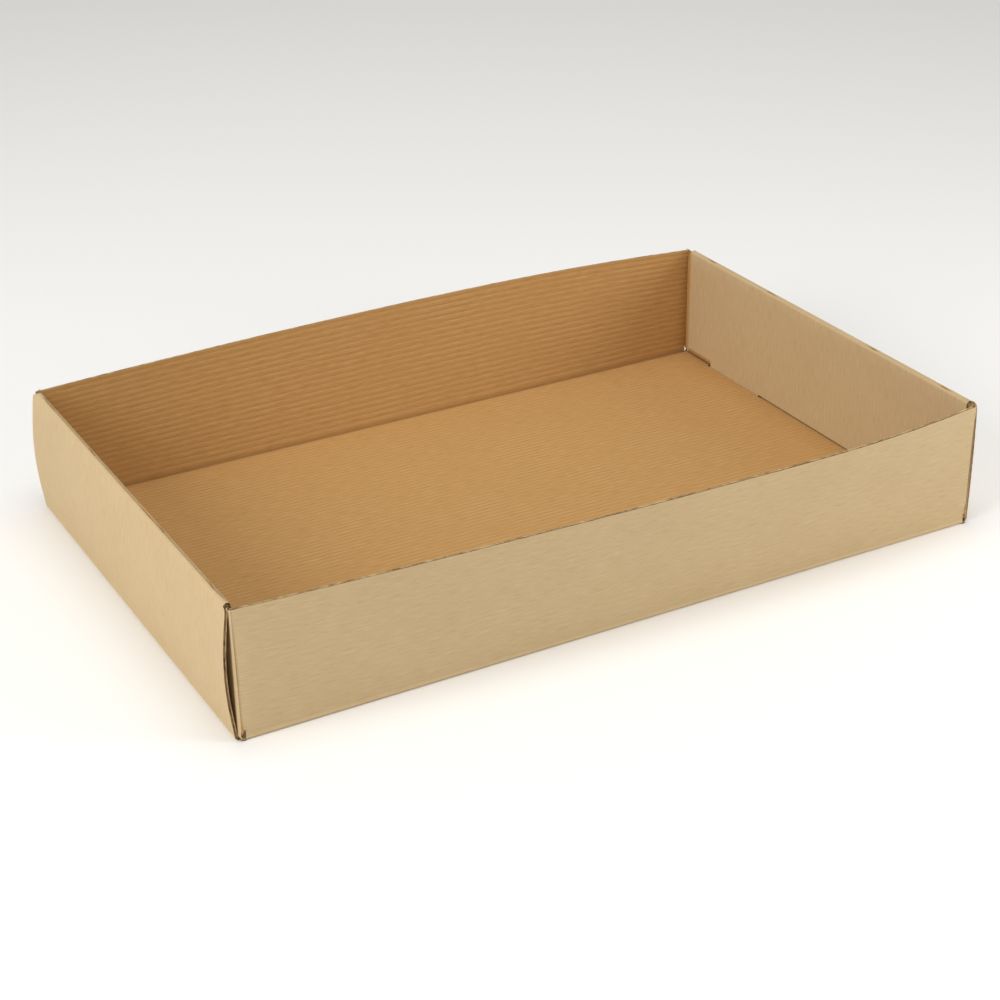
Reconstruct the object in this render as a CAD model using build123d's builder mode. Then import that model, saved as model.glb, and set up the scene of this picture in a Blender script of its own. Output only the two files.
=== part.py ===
from build123d import *
import os

# Die-cut tray of single-wall E-flute card, folded from one sheet.
# X runs along the long sides, Z is up, and the origin is the middle of the base's underside.

# The tray over its outer faces, mm
tray_length = 430.0
tray_width = 275.0
end_height = 71.0
side_height = 70.0

# The card
board = 1.5
fold_inside = 0.35       # inside radius of every scored fold
layer_gap = 0.15         # air between two layers that lie together

# The long sides are held only at their ends, so their free rims spring outwards
front_bow = 10.0
front_bow_at = 100.0     # how far along X the rim stands out most
back_bow = 13.0
back_bow_at = 60.0

# Corner tabs, folded from the long sides and shut inside the end walls
tab_length = 78.0
tab_card = 0.9           # the roll-over crushes their flutes
tab_corner = 14.0        # cut off each free corner
tab_lift = 1.0           # above the base

# End walls: an outer panel, a narrow top and an inner panel turned down inside
left_bulge = 3.2         # the outer panels belly out between their folds
right_bulge = 0.6
corner_round = 6.0       # outer panels' top corners
rollover_inset = 5.5     # from the long faces to the ends of the top and the inner panel
middle_lift = 0.9        # inner panel's lower edge above the base, between the locks
shoulder_lift = 4.0      # the same, outside the locks

# Locks on the inner panels, and their slots in the base
lock_offset = 57.0       # from the long faces to the middle of a lock
lock_width = 52.0
lock_taper = 1.2         # at each end of a lock, over its depth
slot_end_gap = 3.0
slot_side_gap = 0.25

# Where the folds and the layers of the end walls come to lie
fold_outside = board + fold_inside
fold_middle = board / 2 + fold_inside
half_length = tray_length / 2
half_width = tray_width / 2
end_half_width = half_width - fold_outside
rollover_half = half_width - rollover_inset
rollover_foot = end_height - 2 * fold_outside
tab_face = half_length - board - layer_gap
tab_back = tab_face - tab_card
inner_panel_face = tab_back - layer_gap - board
end_wall = half_length - inner_panel_face
lock_y = half_width - lock_offset


def panel_arc(end, bulge):
    """Middle of an outer end panel's section, from the base fold up to the top fold."""
    x = end * (half_length - board / 2)
    return ThreePointArc(
        (x, board / 2),
        (x + end * bulge, end_height / 2),
        (x, end_height - board / 2),
    )


def rim_curve(y, bow, bow_at, reach):
    """One face of a long side seen from above: two parabolas that meet at its widest place."""
    for end in (-reach, reach):
        Bezier((end, y), ((end + bow_at) / 2, y + bow), (bow_at, y + bow))


def side_plan(z, side, bow, bow_at):
    """A long side and its two corner tabs seen from above at height z, as one bent strip."""
    outer = side * half_width
    inner = side * (half_width - board)
    tip = side * (half_width - tab_length)
    outer_turn = outer - side * fold_outside
    inner_turn = inner - side * fold_inside
    outer_reach = tab_face - fold_outside
    inner_reach = tab_back - fold_inside
    with BuildSketch(Plane.XY.offset(z)) as plan:
        with BuildLine():
            rim_curve(outer, side * bow, bow_at, outer_reach)
            rim_curve(inner, side * bow, bow_at, inner_reach)
            for end in (-1, 1):
                RadiusArc(
                    (end * outer_reach, outer),
                    (end * tab_face, outer_turn),
                    side * end * fold_outside,
                )
                Polyline(
                    (end * tab_face, outer_turn),
                    (end * tab_face, tip),
                    (end * tab_back, tip),
                    (end * tab_back, inner_turn),
                )
                RadiusArc(
                    (end * inner_reach, inner),
                    (end * tab_back, inner_turn),
                    side * end * fold_inside,
                )
        make_face()
    return plan.sketch


# The lengthways strip of the sheet: outer end panels, the base between them, and roll-overs
with BuildPart() as lengthways:
    with BuildSketch(Plane.XZ):
        with BuildLine() as middle:
            left = panel_arc(-1, left_bulge)
            right = panel_arc(1, right_bulge)
            Line(left @ 0, right @ 0)
            for panel, end in ((left, -1), (right, 1)):
                turn_down = end * (inner_panel_face + board / 2)
                top = Line(panel @ 1, (turn_down, end_height - board / 2))
                Line(top @ 1, (turn_down, rollover_foot))
            heights = middle.vertices().group_by(Axis.Y)
            fillet(heights[0] + heights[-1], fold_middle)
            offset(amount=board / 2, side=Side.BOTH)
        make_face()
    extrude(amount=end_half_width, both=True)

# The long sides with their corner tabs
with BuildPart() as sides:
    for side, bow, bow_at in ((-1, front_bow, front_bow_at), (1, back_bow, back_bow_at)):
        foot = side_plan(fold_outside, side, 0, bow_at)
        rim = side_plan(side_height, side, bow, bow_at)
        loft([foot, rim])
    # the tabs stand clear of the base and the roll-over, and their free corners are cut off
    tab_foot = board + tab_lift
    tab_top = end_height - board - layer_gap
    tab_root = half_width - fold_outside
    for end in (-1, 1):
        with BuildSketch(Plane.YZ.offset(end * (tab_face - tab_card / 2))):
            for side in (-1, 1):
                tip = side * (half_width - tab_length)
                for edge, beyond, inwards in ((tab_foot, 0, 1), (tab_top, end_height, -1)):
                    with Locations((side * tab_root / 2, (edge + beyond) / 2)):
                        Rectangle(tab_root, abs(beyond - edge))
                    with BuildLine():
                        Polyline(
                            (tip, edge),
                            (tip + side * tab_corner, edge),
                            (tip, edge + inwards * tab_corner),
                            close=True,
                        )
                    make_face()
        extrude(amount=tab_card, both=True, mode=Mode.SUBTRACT)

# Inner end panels, each turned down from its roll-over, with two locks down through the base
with BuildPart() as inner_panels:
    panel_foot = board + middle_lift
    shoulder = board + shoulder_lift
    for end in (-1, 1):
        with BuildSketch(Plane.YZ.offset(end * inner_panel_face)):
            with Locations((0, panel_foot)):
                panel_height = end_height - fold_outside - panel_foot
                Rectangle(2 * rollover_half, panel_height, align=(Align.CENTER, Align.MIN))
            for side in (-1, 1):
                lock_near = side * (lock_y - lock_width / 2)
                lock_far = side * (lock_y + lock_width / 2)
                with BuildLine():
                    Polyline(
                        (lock_far, 0),
                        (side * rollover_half, 0),
                        (side * rollover_half, shoulder),
                        (lock_far, shoulder),
                        close=True,
                    )
                make_face(mode=Mode.SUBTRACT)
                with BuildLine():
                    Polyline(
                        (lock_far, shoulder),
                        (lock_far - side * lock_taper, 0),
                        (lock_near + side * lock_taper, 0),
                        (lock_near, shoulder),
                        close=True,
                    )
                make_face()
        extrude(amount=end * board)

# The whole folded sheet
with BuildPart() as tray:
    add(lengthways.part)
    # the base again, out to the long folds and round them
    with BuildSketch(Plane.YZ) as across:
        with BuildLine():
            Polyline(
                (-half_width, fold_outside),
                (-half_width, 0),
                (half_width, 0),
                (half_width, fold_outside),
                (half_width - board, fold_outside),
                (half_width - board, board),
                (board - half_width, board),
                (board - half_width, fold_outside),
                close=True,
            )
        make_face()
        outer_corners, inner_corners, _ = across.vertices().group_by(Axis.Y)
        fillet(outer_corners, fold_outside)
        fillet(inner_corners, fold_inside)
    extrude(amount=half_length - fold_outside, both=True)
    for end in (-1, 1):
        # the roll-overs are narrower than the outer end panels
        with BuildSketch(Plane.YZ.offset(end * (half_length - board - layer_gap))):
            for side in (-1, 1):
                with Locations((side * (rollover_half + half_width) / 2, end_height)):
                    Rectangle(rollover_inset, 4 * end_wall)
        extrude(amount=-end * end_wall, mode=Mode.SUBTRACT)
        # outer end panels' top corners
        with BuildSketch(Plane.YZ.offset(end * half_length)):
            for side in (-1, 1):
                arc_foot = (side * end_half_width, end_height - corner_round)
                arc_top = (side * (end_half_width - corner_round), end_height)
                with BuildLine():
                    RadiusArc(arc_foot, arc_top, -side * corner_round)
                    Polyline(
                        arc_top,
                        (side * (end_half_width - corner_round), end_height + board),
                        (side * half_width, end_height + board),
                        (side * half_width, end_height - corner_round),
                        arc_foot,
                    )
                make_face()
        extrude(amount=end_wall, both=True, mode=Mode.SUBTRACT)
    # slots for the locks
    with BuildSketch(Plane.XY):
        for end in (-1, 1):
            for side in (-1, 1):
                with Locations((end * (inner_panel_face + board / 2), side * lock_y)):
                    Rectangle(board + 2 * slot_side_gap, lock_width + 2 * slot_end_gap)
    extrude(amount=board, mode=Mode.SUBTRACT)
    add(sides.part)
    add(inner_panels.part)

tray.part.label = "tray"
os.makedirs("parts", exist_ok=True)
export_step(tray.part, "parts/tray.step")
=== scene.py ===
import math
import bpy
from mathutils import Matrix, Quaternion, Vector


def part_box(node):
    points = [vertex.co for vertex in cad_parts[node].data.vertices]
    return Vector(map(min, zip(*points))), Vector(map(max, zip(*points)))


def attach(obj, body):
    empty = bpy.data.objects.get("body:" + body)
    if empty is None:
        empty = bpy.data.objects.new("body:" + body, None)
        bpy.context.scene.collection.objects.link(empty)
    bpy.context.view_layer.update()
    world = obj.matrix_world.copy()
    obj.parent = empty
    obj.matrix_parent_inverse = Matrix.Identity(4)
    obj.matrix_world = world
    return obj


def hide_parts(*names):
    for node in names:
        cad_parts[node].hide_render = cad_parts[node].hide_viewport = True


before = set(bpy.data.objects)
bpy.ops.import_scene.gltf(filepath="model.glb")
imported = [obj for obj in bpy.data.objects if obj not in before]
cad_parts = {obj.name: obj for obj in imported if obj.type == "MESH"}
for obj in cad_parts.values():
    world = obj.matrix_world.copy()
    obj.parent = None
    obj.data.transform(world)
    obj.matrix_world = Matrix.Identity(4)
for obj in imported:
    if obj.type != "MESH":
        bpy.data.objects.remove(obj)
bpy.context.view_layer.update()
trayLow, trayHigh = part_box("tray")
mm = 0.001
near = 0.02 * mm    # places closer than this count as the same

# the folded sheet, metres; its outer sizes come from the frame
sheet = {
    "board": 1.5 * mm,
    "foldInside": 0.35 * mm,
    "foldSteps": 4,             # flat facets round each fold
    "frontBow": 10.0 * mm,      # how far a long side's free rim springs out, and where along X most
    "frontBowAt": 100.0 * mm,
    "backBow": 13.0 * mm,
    "backBowAt": 60.0 * mm,
    "leftBulge": 3.2 * mm,      # how far an end wall's outer panel bellies out
    "rightBulge": 0.6 * mm,
    "sideDrop": 1.0 * mm,       # long sides are lower than the end walls
    "tabLength": 78.0 * mm,
    "tabCard": 0.9 * mm,        # tabs are crushed between the layers of an end wall
    "tabLift": 1.0 * mm,
    "tabCorner": 14.0 * mm,
    "layerGap": 0.15 * mm,
    "cornerRound": 3.4 * mm,    # stops short of the roll-over's end
    "cornerSteps": 5,
    "rolloverInset": 5.5 * mm,
    "middleLift": 0.9 * mm,
    "shoulderLift": 4.0 * mm,
    "lockOffset": 57.0 * mm,
    "lockWidth": 52.0 * mm,
    "slotEndGap": 3.0 * mm,
    "slotSideGap": 0.25 * mm,
    "flutePitch": 3.4 * mm,
    "gridStep": 7.0 * mm,       # between cuts across the panels, so that they can bend
    "creaseReach": 2.6 * mm,    # how far the painted crease shade and highlight reach on each side of a base fold; the panels are also cut this far from it
    "waver": 0.5 * mm,          # how far panels stray from true
    "waverSize": 70.0 * mm,
    "linerLip": 0.32 * mm,      # liner seen along a cut edge, with the flutes sunk between
    "coreDepth": 0.5 * mm,
    "smoothAngle": 35,          # degrees; sharper edges stay crisp
}

halfLength = trayHigh.x - sheet["rightBulge"]
halfWidth = -trayLow.y - sheet["frontBow"]
height = trayHigh.z
board = sheet["board"]
foldRadius = board / 2 + sheet["foldInside"]

# the middle of the card, panel by panel
baseZ = board / 2
topZ = height - board / 2
rimZ = height - sheet["sideDrop"]
sideY = halfWidth - board / 2
outerX = halfLength - board / 2
tabX = halfLength - board - sheet["layerGap"] - sheet["tabCard"] / 2
innerX = tabX - sheet["tabCard"] / 2 - sheet["layerGap"] - board / 2
endHalf = halfWidth - board - sheet["foldInside"]
rollHalf = halfWidth - sheet["rolloverInset"]
tabFoot = board + sheet["tabLift"]
tabTop = height - board - sheet["layerGap"]
panelFoot = board + sheet["middleLift"]
shoulder = board + sheet["shoulderLift"]
lockMiddle = halfWidth - sheet["lockOffset"]
lockNear = lockMiddle - sheet["lockWidth"] / 2
lockFar = lockMiddle + sheet["lockWidth"] / 2
slotNear = lockNear - sheet["slotEndGap"]
slotFar = lockFar + sheet["slotEndGap"]
slotLow = innerX - board / 2 - sheet["slotSideGap"]
slotHigh = innerX + board / 2 + sheet["slotSideGap"]

# order of the tray's material slots: inside liner, outside liner, cut liner edge, flute core coloured as
# painted shade
outsideSlot = 1
cutEdgeSlot = 2
coreSlot = 3


def pick(piece, kind, wanted):
    # in edit mode, selects only what lies wholly where the test says
    bpy.ops.mesh.select_mode(type=kind)
    bpy.ops.mesh.select_all(action="DESELECT")
    bpy.ops.object.mode_set(mode="OBJECT")
    mesh = piece.data
    if kind == "FACE":
        for face in mesh.polygons:
            face.select = wanted(face.center)
    elif kind == "EDGE":
        for edge in mesh.edges:
            start, end = (mesh.vertices[index].co for index in edge.vertices)
            edge.select = wanted(start) and wanted(end) and wanted((start + end) / 2)
    else:
        for vertex in mesh.vertices:
            vertex.select = wanted(vertex.co)
    bpy.ops.object.mode_set(mode="EDIT")


def cutAcross(axis, places):
    # cuts everything along flat planes
    for place in places:
        bpy.ops.mesh.select_all(action="SELECT")
        where = [0.0, 0.0, 0.0]
        facing = [0.0, 0.0, 0.0]
        where[axis], facing[axis] = place, 1.0
        bpy.ops.mesh.bisect(plane_co=where, plane_no=facing)


def drawOut(move):
    bpy.ops.mesh.extrude_region_move(TRANSFORM_OT_translate={"value": move})


def evenSteps(low, high):
    count = max(2, round((high - low) / sheet["gridStep"]))
    return [low + (high - low) * step / count for step in range(1, count)]


def bothWays(*places):
    return [side * place for place in places for side in (-1, 1)]


def bow(x, at):
    # share of a free rim's spring at this place: two parabolas that meet where it is widest
    span = tabX + at if x < at else tabX - at
    return max(0.0, 1 - ((x - at) / span) ** 2)


def push(piece, name, axis, distance, share):
    # moves the piece along one axis, each place by its share of the distance
    group = piece.vertex_groups.new(name=name)
    for vertex in piece.data.vertices:
        weight = share(vertex.co)
        if weight > 0:
            group.add([vertex.index], min(weight, 1.0), "REPLACE")
    move = piece.modifiers.new(name, "DISPLACE")
    move.direction = axis
    move.mid_level = 0
    move.strength = distance
    move.vertex_group = name
    return move


def foldedTray():
    print("base, with its corners cut out")
    bpy.ops.object.select_all(action="DESELECT")
    bpy.ops.mesh.primitive_plane_add(size=1, location=(0, 0, baseZ))
    tray = bpy.context.object
    tray.name = tray.data.name = "foldedTray"
    tray.scale = (2 * outerX, 2 * sideY, 1)
    bpy.ops.object.transform_apply(location=True, rotation=True, scale=True)
    bpy.ops.object.mode_set(mode="EDIT")
    cutAcross(0, bothWays(tabX))
    cutAcross(1, bothWays(endHalf))
    pick(tray, "FACE", lambda at: abs(at.x) > tabX and abs(at.y) > endHalf)
    bpy.ops.mesh.delete(type="FACE")

    print("long sides, with their corner tabs")
    pick(tray, "EDGE", lambda at: abs(at.y) > sideY - near)
    drawOut((0, 0, rimZ - baseZ))
    cutAcross(2, (tabFoot, tabTop))
    for side in (-1, 1):
        pick(tray, "EDGE", lambda at: abs(at.x) > tabX - near and side * at.y > sideY - near
             and tabFoot - near < at.z < tabTop + near)
        drawOut((0, -side * (sheet["tabLength"] - board / 2), 0))
        tip = side * (halfWidth - sheet["tabLength"])
        for edge, upwards in ((tabFoot, -1), (tabTop, 1)):
            # a slanting cut takes the corner off both tabs at this side
            pick(tray, "FACE", lambda at: abs(abs(at.x) - tabX) < near and 0 < side * at.y < sideY - near
                 and at.z > board)
            bpy.ops.mesh.bisect(plane_co=(0, tip + side * sheet["tabCorner"], edge),
                                plane_no=(0, -side, upwards), clear_outer=True)

    print("end walls, rolled over and turned down inside")
    pick(tray, "EDGE", lambda at: abs(at.x) > outerX - near)
    drawOut((0, 0, topZ - baseZ))
    cutAcross(1, bothWays(rollHalf))
    for end in (-1, 1):
        pick(tray, "EDGE", lambda at: end * at.x > outerX - near and at.z > topZ - near
             and abs(at.y) < rollHalf + near)
        drawOut((end * (innerX - outerX), 0, 0))
        drawOut((0, 0, -topZ))

    print("locks and their slots")
    cutAcross(0, bothWays(slotLow, slotHigh))
    cutAcross(1, bothWays(lockNear, lockFar, slotNear, slotFar))
    cutAcross(2, (panelFoot, shoulder))
    pick(tray, "FACE", lambda at: at.z < baseZ + near and slotLow < abs(at.x) < slotHigh
         and slotNear < abs(at.y) < slotFar)
    bpy.ops.mesh.delete(type="FACE")
    pick(tray, "FACE", lambda at: abs(abs(at.x) - innerX) < near and at.z > baseZ + near
         and (abs(at.y) < lockNear and at.z < panelFoot or abs(at.y) > lockFar and at.z < shoulder))
    bpy.ops.mesh.delete(type="FACE")

    print("scored folds")
    folds = (
        lambda at: abs(at.y) > sideY - near and at.z < baseZ + near,
        lambda at: abs(at.x) > outerX - near and at.z < baseZ + near,
        lambda at: abs(abs(at.x) - tabX) < near and abs(at.y) > sideY - near
        and tabFoot - near < at.z < tabTop + near,
        lambda at: abs(at.x) > outerX - near and at.z > topZ - near and abs(at.y) < rollHalf + near,
        lambda at: abs(abs(at.x) - innerX) < near and at.z > topZ - near,
    )
    for fold in folds:
        pick(tray, "EDGE", fold)
        bpy.ops.mesh.bevel(offset=foldRadius, segments=sheet["foldSteps"], profile=0.5)
    pick(tray, "VERT", lambda at: abs(at.x) > outerX - near and abs(at.y) > endHalf - near
         and at.z > topZ - near)
    bpy.ops.mesh.bevel(offset=sheet["cornerRound"], segments=sheet["cornerSteps"], affect="VERTICES")

    print("cuts across the panels, so that they can bend")
    crease = sheet["creaseReach"]
    cutAcross(0, evenSteps(-slotLow, slotLow))
    cutAcross(1, evenSteps(-rollHalf, rollHalf) + bothWays(sideY - foldRadius - crease))
    cutAcross(2, evenSteps(shoulder, tabTop) + [baseZ + foldRadius + crease])
    bpy.ops.mesh.select_all(action="SELECT")
    bpy.ops.mesh.remove_doubles(threshold=near)
    bpy.ops.mesh.normals_make_consistent(inside=False)
    bpy.ops.object.mode_set(mode="OBJECT")
    # the sheet's front is the inside liner, so the base faces up
    middleFace = min(tray.data.polygons, key=lambda face: face.center.length)
    if middleFace.normal.z < 0:
        bpy.ops.object.mode_set(mode="EDIT")
        bpy.ops.mesh.select_all(action="SELECT")
        bpy.ops.mesh.flip_normals()
        bpy.ops.object.mode_set(mode="OBJECT")

    print("rims spring outwards, end walls belly, and nothing is quite true")

    def onSide(at, side):
        return side * at.y > sideY - near and abs(at.x) < tabX + near

    def rise(at):
        return max(0.0, at.z - baseZ - foldRadius) / (rimZ - baseZ - foldRadius)

    def belly(at, end):
        return math.sin(math.pi * at.z / height) if end * at.x > outerX - near else 0.0

    push(tray, "frontBow", "Y", -sheet["frontBow"],
         lambda at: rise(at) * bow(at.x, sheet["frontBowAt"]) if onSide(at, -1) else 0)
    push(tray, "backBow", "Y", sheet["backBow"],
         lambda at: rise(at) * bow(at.x, sheet["backBowAt"]) if onSide(at, 1) else 0)
    push(tray, "leftBelly", "X", -sheet["leftBulge"], lambda at: belly(at, -1))
    push(tray, "rightBelly", "X", sheet["rightBulge"], lambda at: belly(at, 1))
    clouds = bpy.data.textures.new("cardWaver", "CLOUDS")
    clouds.noise_scale = sheet["waverSize"]
    sides = push(tray, "sideWaver", "Y", sheet["waver"],
                 lambda at: rise(at) * bow(at.x, 0) if onSide(at, 1) or onSide(at, -1) else 0)
    floor = push(tray, "floorWaver", "Z", sheet["waver"],
                 lambda at: bow(at.x, 0) * (1 - abs(at.y) / sideY) if at.z < baseZ + near else 0)
    for move in (sides, floor):
        move.texture = clouds
        move.texture_coords = "LOCAL"
    thickness = tray.vertex_groups.new(name="thickness")
    for vertex in tray.data.vertices:
        onTab = abs(abs(vertex.co.x) - tabX) < near and abs(vertex.co.y) < endHalf
        thickness.add([vertex.index], sheet["tabCard"] / board if onTab else 1.0, "REPLACE")

    print("the card's thickness")
    for material in (insideLiner(), outsideLiner(), cutEdge(), fluteCoreShade()):
        tray.data.materials.append(material)
    solid = tray.modifiers.new("card", "SOLIDIFY")
    solid.thickness = board
    solid.offset = 0    # even offset stays off, because it throws some points metres away
    solid.vertex_group = "thickness"
    solid.material_offset = outsideSlot
    solid.material_offset_rim = cutEdgeSlot
    for modifier in list(tray.modifiers):
        bpy.ops.object.modifier_apply(modifier=modifier.name)

    print("flutes sunk between the liners along every cut edge")
    bpy.ops.object.mode_set(mode="EDIT")
    bpy.ops.mesh.select_mode(type="FACE")
    bpy.ops.mesh.select_all(action="DESELECT")
    bpy.ops.object.mode_set(mode="OBJECT")
    for face in tray.data.polygons:
        face.select = face.material_index == cutEdgeSlot
    bpy.ops.object.mode_set(mode="EDIT")
    bpy.ops.mesh.inset(thickness=sheet["linerLip"], depth=-sheet["coreDepth"], use_even_offset=True)
    # the sunk core faces take the dark core colour, which is painted shade inside the cut edges
    tray.active_material_index = coreSlot
    bpy.ops.object.material_slot_assign()
    bpy.ops.object.mode_set(mode="OBJECT")
    bpy.ops.object.shade_smooth_by_angle(angle=math.radians(sheet["smoothAngle"]))
    mapBlank(tray)
    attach(tray, "root")
    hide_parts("tray")


def mapBlank(tray):
    # UV map in metres, first along the flutes and then across them, and how near each place is to a fold;
    # the hidden tabs take the end walls' map
    mesh = tray.data
    mostly = 0.7    # a face whose normal has this much of an axis faces that way
    for layer in list(mesh.uv_layers):
        mesh.uv_layers.remove(layer)
    blank = mesh.uv_layers.new(name="blank")
    for face in mesh.polygons:
        facing = face.normal
        for loop in face.loop_indices:
            at = mesh.vertices[mesh.loops[loop].vertex_index].co
            if abs(facing.z) > mostly:
                place = (at.x, at.y)
            elif abs(facing.y) > mostly:
                place = (at.x, at.z)
            else:
                place = (at.z, at.y)
            blank.data[loop].uv = place
    # nearness to the base folds, which places the painted crease shade and highlight
    scored = mesh.attributes.new("scored", "FLOAT", "POINT")
    for vertex in mesh.vertices:
        at = vertex.co
        fromSide = math.hypot(sideY - abs(at.y), at.z - baseZ)
        fromEnd = math.hypot(outerX - abs(at.x), at.z - baseZ)
        away = min(fromSide, fromEnd)
        nearness = 1 - (away - foldRadius) / sheet["creaseReach"]
        scored.data[vertex.index].value = max(0.0, min(1.0, nearness))


def linear(hexColour):
    # sRGB hex to linear colour
    channels = [int(hexColour[i:i + 2], 16) / 255 for i in (1, 3, 5)]
    return [c / 12.92 if c <= 0.04045 else ((c + 0.055) / 1.055) ** 2.4 for c in channels] + [1.0]


def addNode(tree, kind, settings=None, links=None):
    # settings by name go on the node, or on its input of that name or number
    node = tree.nodes.new(kind)
    for name, value in (settings or {}).items():
        if isinstance(name, int) or name in node.inputs:
            node.inputs[name].default_value = value
        else:
            setattr(node, name, value)
    for name, socket in (links or {}).items():
        tree.links.new(socket, node.inputs[name])
    return node


# sizes of the paper's own patterns: mm across the machine direction, mm along it, detail, seed
paper = {
    "clouds": (30, 45, 3, 1.3),
    "fibres": (0.7, 9, 2, 4.1),     # coarser than real fibres, so that they show
    "flecks": (0.5, 0.9, 1, 7.7),
    "grain": (0.35, 0.6, 2, 2.9),
    "fibreRelief": 0.05 * mm,
    "grainRelief": 0.04 * mm,
    "waveRepeat": 2 * math.pi / 20,     # Blender's wave texture repeats at this length at scale 1
}


def kraftPaper(name, look):
    # one kraft liner: pulp clouds, long fibres, flecks, the flutes showing through, and scored folds
    material = bpy.data.materials.new(name)
    material.use_nodes = True
    tree = material.node_tree
    shader = tree.nodes["Principled BSDF"]
    shader.inputs["Roughness"].default_value = look["roughness"]
    shader.inputs["Specular IOR Level"].default_value = look["specular"]
    blank = addNode(tree, "ShaderNodeUVMap", {"uv_map": "blank"}).outputs[0]

    def pattern(width, length, detail, seed):
        # noise whose spots are this wide across the machine direction and this long along it, in mm
        scale = (1 / (length * mm), 1 / (width * mm), 1)
        place = addNode(tree, "ShaderNodeMapping", {"Scale": scale, "Location": (seed, seed, 0)},
                        {"Vector": blank})
        return addNode(tree, "ShaderNodeTexNoise", {"Scale": 1.0, "Detail": detail, "Roughness": 0.6},
                       {"Vector": place.outputs[0]}).outputs[0]

    def spread(value, low, high, most):
        # value from low to high becomes 0 to most
        return addNode(tree, "ShaderNodeMapRange", {"From Min": low, "From Max": high, "To Max": most},
                       {"Value": value}).outputs[0]

    def tint(below, factor, colour):
        # lays this colour over what is below it
        mix = addNode(tree, "ShaderNodeMix", {"data_type": "RGBA", "blend_type": "MIX"})
        tree.links.new(factor, mix.inputs[0])
        if isinstance(below, str):
            mix.inputs[6].default_value = linear(below)
        else:
            tree.links.new(below, mix.inputs[6])
        mix.inputs[7].default_value = linear(colour)
        return mix.outputs[2]

    clouds = pattern(*paper["clouds"])
    fibres = pattern(*paper["fibres"])
    flecks = pattern(*paper["flecks"])
    grain = pattern(*paper["grain"])
    colour = tint(look["colour"], spread(clouds, 0.35, 0.7, 0.55), look["cloud"])
    colour = tint(colour, spread(fibres, 0.52, 0.72, 0.5), look["fibre"])
    colour = tint(colour, spread(fibres, 0.45, 0.3, 0.35), look["shade"])
    colour = tint(colour, spread(flecks, 0.68, 0.78, 0.5), look["fleck"])
    # liner sinks a little between flute tips, in lines along the machine direction; painted shade darkens
    # these sunk lines, in patches
    lines = addNode(tree, "ShaderNodeTexWave", {
        "bands_direction": "Y", "Scale": paper["waveRepeat"] / sheet["flutePitch"],
        "Distortion": 1.3, "Detail": 2.0, "Detail Scale": 0.06,
    }, {"Vector": blank}).outputs[1]
    sunkLineShade = addNode(tree, "ShaderNodeMath", {"operation": "MULTIPLY"})
    tree.links.new(spread(lines, 0.5, 0.0, look["flutes"]), sunkLineShade.inputs[0])
    tree.links.new(spread(clouds, 0.7, 0.35, 1.0), sunkLineShade.inputs[1])
    colour = tint(colour, sunkLineShade.outputs[0], look["shade"])

    # near the base folds: painted shade darkens a band along each inside crease, and a painted highlight
    # lightens the outside of each fold
    scored = addNode(tree, "ShaderNodeAttribute", {"attribute_name": "scored"}).outputs["Fac"]
    colour = tint(colour, spread(scored, 0.25, 0.95, look["creasePaintedLight"]), look["crease"])
    tree.links.new(colour, shader.inputs["Base Color"])

    # relief, coarse to fine, its depths in metres
    bump = addNode(tree, "ShaderNodeBump", {"Strength": 1.0, "Distance": look["fluteRelief"] * mm},
                   {"Height": lines})
    bump = addNode(tree, "ShaderNodeBump", {"Strength": 0.8, "Distance": paper["fibreRelief"]},
                   {"Height": fibres, "Normal": bump.outputs[0]})
    bump = addNode(tree, "ShaderNodeBump", {"Strength": 0.7, "Distance": paper["grainRelief"]},
                   {"Height": grain, "Normal": bump.outputs[0]})
    tree.links.new(bump.outputs[0], shader.inputs["Normal"])
    return material


def outsideLiner():
    # kraft linerboard, machine-glazed outside face: a flat greyish tan, nearly smooth, flutes barely felt
    return kraftPaper("kraftLinerOutside", {
        "colour": "#c4ab82", "cloud": "#bda37a", "fibre": "#d0ba92", "shade": "#a98d65", "fleck": "#8c6d45",
        # crease: painted highlight along the outside of the base folds
        "crease": "#d8bf93", "creasePaintedLight": 0.5,
        # flutes: how strongly painted shade darkens the sunk lines between flute tips
        "flutes": 0.08, "fluteRelief": 0.02, "roughness": 0.72, "specular": 0.3,
    })


def insideLiner():
    # recycled test liner, rough inside face: a warmer brown, with the flutes showing as fine lines of
    # painted shade
    return kraftPaper("testLinerInside", {
        "colour": "#bf945c", "cloud": "#b48850", "fibre": "#cca56e", "shade": "#9a6d3b", "fleck": "#7c5630",
        # crease: painted shade along the inside creases at the base
        "crease": "#7d5228", "creasePaintedLight": 0.6,
        # flutes: how strongly painted shade darkens the sunk lines between flute tips
        "flutes": 0.4, "fluteRelief": 0.10, "roughness": 0.85, "specular": 0.2,
    })


def cutEdge():
    # die-cut liner edge: torn fibres, greyer and rougher than the face, mottled every few millimetres
    frayWidth = 4 * mm
    material = bpy.data.materials.new("dieCutLinerEdge")
    material.use_nodes = True
    tree = material.node_tree
    shader = tree.nodes["Principled BSDF"]
    shader.inputs["Roughness"].default_value = 0.9
    shader.inputs["Specular IOR Level"].default_value = 0.15
    place = addNode(tree, "ShaderNodeTexCoord").outputs["Object"]
    fray = addNode(tree, "ShaderNodeTexNoise", {"Scale": 1 / frayWidth, "Detail": 4.0},
                   {"Vector": place}).outputs[0]
    ramp = addNode(tree, "ShaderNodeValToRGB", None, {"Fac": fray})
    ramp.color_ramp.elements[0].position = 0.35
    ramp.color_ramp.elements[0].color = linear("#8f7652")
    ramp.color_ramp.elements[1].position = 0.68
    ramp.color_ramp.elements[1].color = linear("#cdb68d")
    tree.links.new(ramp.outputs[0], shader.inputs["Base Color"])
    bump = addNode(tree, "ShaderNodeBump", {"Distance": 0.15 * mm}, {"Height": fray})
    tree.links.new(bump.outputs[0], shader.inputs["Normal"])
    return material


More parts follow.
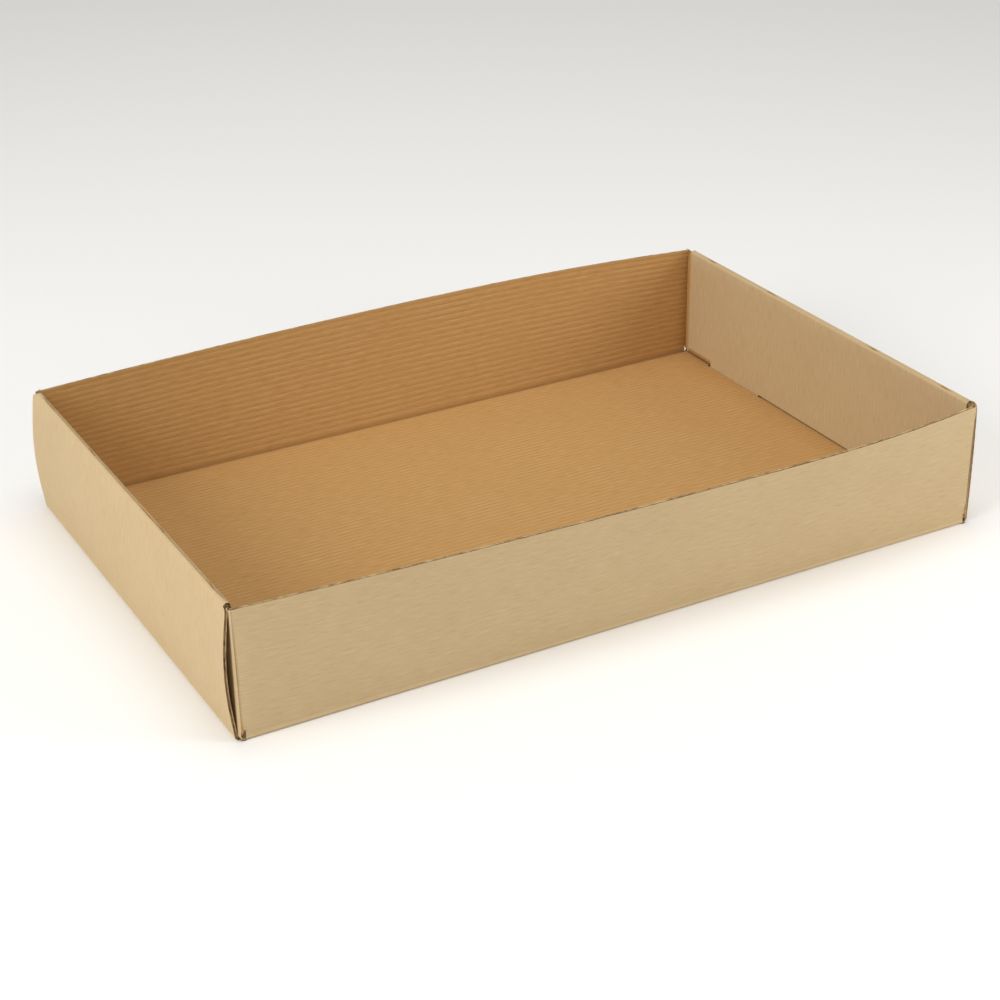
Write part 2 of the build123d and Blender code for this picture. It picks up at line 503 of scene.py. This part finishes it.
def fluteCoreShade():
    # semi-chemical fluting between the liners: coloured dark as painted shade for the hollow flutes,
    # mottled at the flutes' own spacing
    material = bpy.data.materials.new("flutingCorePaintedShade")
    material.use_nodes = True
    tree = material.node_tree
    shader = tree.nodes["Principled BSDF"]
    shader.inputs["Roughness"].default_value = 0.95
    shader.inputs["Specular IOR Level"].default_value = 0.1
    place = addNode(tree, "ShaderNodeTexCoord").outputs["Object"]
    mottle = addNode(tree, "ShaderNodeTexNoise", {"Scale": 1 / sheet["flutePitch"], "Detail": 2.0},
                     {"Vector": place}).outputs[0]
    ramp = addNode(tree, "ShaderNodeValToRGB", None, {"Fac": mottle})
    ramp.color_ramp.elements[0].position = 0.4
    ramp.color_ramp.elements[0].color = linear("#5d4428")
    ramp.color_ramp.elements[1].position = 0.62
    ramp.color_ramp.elements[1].color = linear("#97794f")
    tree.links.new(ramp.outputs[0], shader.inputs["Base Color"])
    return material


# pale floor, soft light and the camera, metres, watts and degrees
stage = {
    "floorColour": "#f4f3f0",
    "floorSize": 12.0,
    "world": "#ffffff",
    "worldStrength": 0.46,
    "aim": (0, 0, 0.03),    # where every light points
    # name: place, size, power
    "lights": {
        "keyLeft": ((-1.6, -0.35, 0.95), 1.1, 19),
        "fillRight": ((0.62, -0.66, 0.34), 0.4, 2.4),
        "overhead": ((0.1, -0.1, 1.9), 1.4, 13),
    },
    "azimuth": -28.674,
    "elevation": 27.176,
    "roll": -0.825,
    "target": (0.00775, 0.0153, 0.0),
    "distance": 1.1948,
    "lens": 76.86,          # lens and sensor in millimetres
    "sensor": 36,
}


def floorAndLights():
    print("floor, lights and camera")
    bpy.ops.object.select_all(action="DESELECT")
    bpy.ops.mesh.primitive_plane_add(size=stage["floorSize"])
    floor = bpy.context.object
    floor.name = "paleFloor"
    paint = bpy.data.materials.new("mattePaleFloor")
    paint.use_nodes = True
    shader = paint.node_tree.nodes["Principled BSDF"]
    shader.inputs["Base Color"].default_value = linear(stage["floorColour"])
    shader.inputs["Roughness"].default_value = 0.9
    floor.data.materials.append(paint)

    world = bpy.data.worlds.new("softRoom")
    bpy.context.scene.world = world
    world.use_nodes = True
    backdrop = world.node_tree.nodes["Background"]
    backdrop.inputs[0].default_value = linear(stage["world"])
    backdrop.inputs[1].default_value = stage["worldStrength"]

    for name, (place, size, power) in stage["lights"].items():
        bpy.ops.object.light_add(type="AREA", location=place)
        lamp = bpy.context.object
        lamp.name = name
        lamp.data.shape = "DISK"
        lamp.data.size = size
        lamp.data.energy = power
        lamp.rotation_euler = (Vector(stage["aim"]) - Vector(place)).to_track_quat("-Z", "Y").to_euler()

    azimuth = math.radians(stage["azimuth"])
    elevation = math.radians(stage["elevation"])
    level = math.cos(elevation)
    back = Vector((math.sin(azimuth) * level, -math.cos(azimuth) * level, math.sin(elevation)))
    bpy.ops.object.camera_add(location=Vector(stage["target"]) + back * stage["distance"])
    camera = bpy.context.object
    camera.rotation_mode = "QUATERNION"
    roll = Quaternion((0, 0, 1), math.radians(stage["roll"]))
    camera.rotation_quaternion = (-back).to_track_quat("-Z", "Y") @ roll
    camera.data.lens = stage["lens"]
    camera.data.sensor_width = stage["sensor"]
    bpy.context.scene.camera = camera
    bpy.context.scene.view_settings.view_transform = "Standard"


foldedTray()
floorAndLights()
